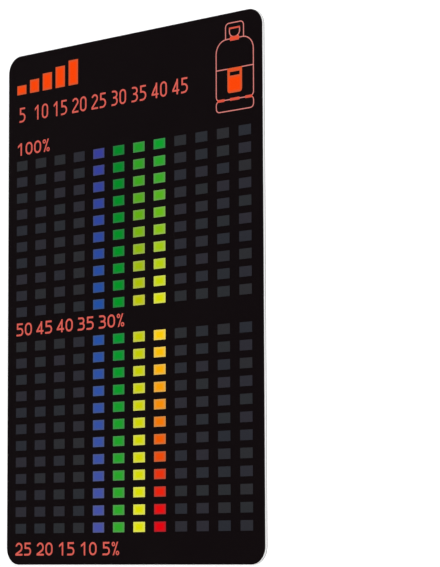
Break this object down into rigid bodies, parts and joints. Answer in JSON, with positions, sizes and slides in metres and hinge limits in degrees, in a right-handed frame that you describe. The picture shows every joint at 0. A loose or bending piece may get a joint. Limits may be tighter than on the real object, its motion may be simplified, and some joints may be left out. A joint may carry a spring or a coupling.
{
  "type": "gas bottle level indicator",
  "caption": "Thin magnetic card with rounded corners and two blocks of colour-changing cells on a black face; it clings to a steel gas bottle and shows its level.",
  "frame": {"origin": "centre of the back face of the card, which lies on the surface", "axes": "+Z out of the printed face, +Y along the length towards the title end, +X across the width to the reader's right"},
  "size_m": [0.07, 0.11, 0.0009],
  "materials": {
    "magnet_foil": "matte flexible magnet foil",
    "base_sheet": "pale satin plastic sheet",
    "face_film": "satin black printed film",
    "dark_cells": "thermochromic ink, dark, not responding",
    "upper_blue_cells": "thermochromic ink, violet blue to blue",
    "lower_blue_cells": "thermochromic ink, blue to violet blue",
    "upper_green_cells": "thermochromic ink, green",
    "lower_green_cells": "thermochromic ink, green",
    "upper_lime_cells": "thermochromic ink, green to yellow-green",
    "lower_lime_cells": "thermochromic ink, yellow",
    "upper_warm_cells": "thermochromic ink, green to yellow",
    "lower_warm_cells": "thermochromic ink, amber to red",
    "orange_ink": "screen-printed orange-red ink"
  },
  "bodies": {
    "root": {"magnet_foil": "magnet_foil", "base_sheet": "base_sheet", "face_film": "face_film", "upper_cells_01": "dark_cells", "upper_cells_02": "dark_cells", "upper_cells_03": "dark_cells", "upper_cells_04": "dark_cells", "upper_cells_05": "upper_blue_cells", "upper_cells_06": "upper_green_cells", "upper_cells_07": "upper_lime_cells", "upper_cells_08": "upper_warm_cells", "upper_cells_09": "dark_cells", "upper_cells_10": "dark_cells", "upper_cells_11": "dark_cells", "upper_cells_12": "dark_cells", "lower_cells_01": "dark_cells", "lower_cells_02": "dark_cells", "lower_cells_03": "dark_cells", "lower_cells_04": "dark_cells", "lower_cells_05": "lower_blue_cells", "lower_cells_06": "lower_green_cells", "lower_cells_07": "lower_lime_cells", "lower_cells_08": "lower_warm_cells", "lower_cells_09": "dark_cells", "lower_cells_10": "dark_cells", "lower_cells_11": "dark_cells", "lower_cells_12": "dark_cells", "level_mark": "orange_ink", "column_numbers": "orange_ink", "full_legend": "orange_ink", "middle_legend": "orange_ink", "bottom_legend": "orange_ink", "bottle_outline": "orange_ink", "bottle_fields": "orange_ink", "bottle_patch": "orange_ink"}
  },
  "joints": []
}
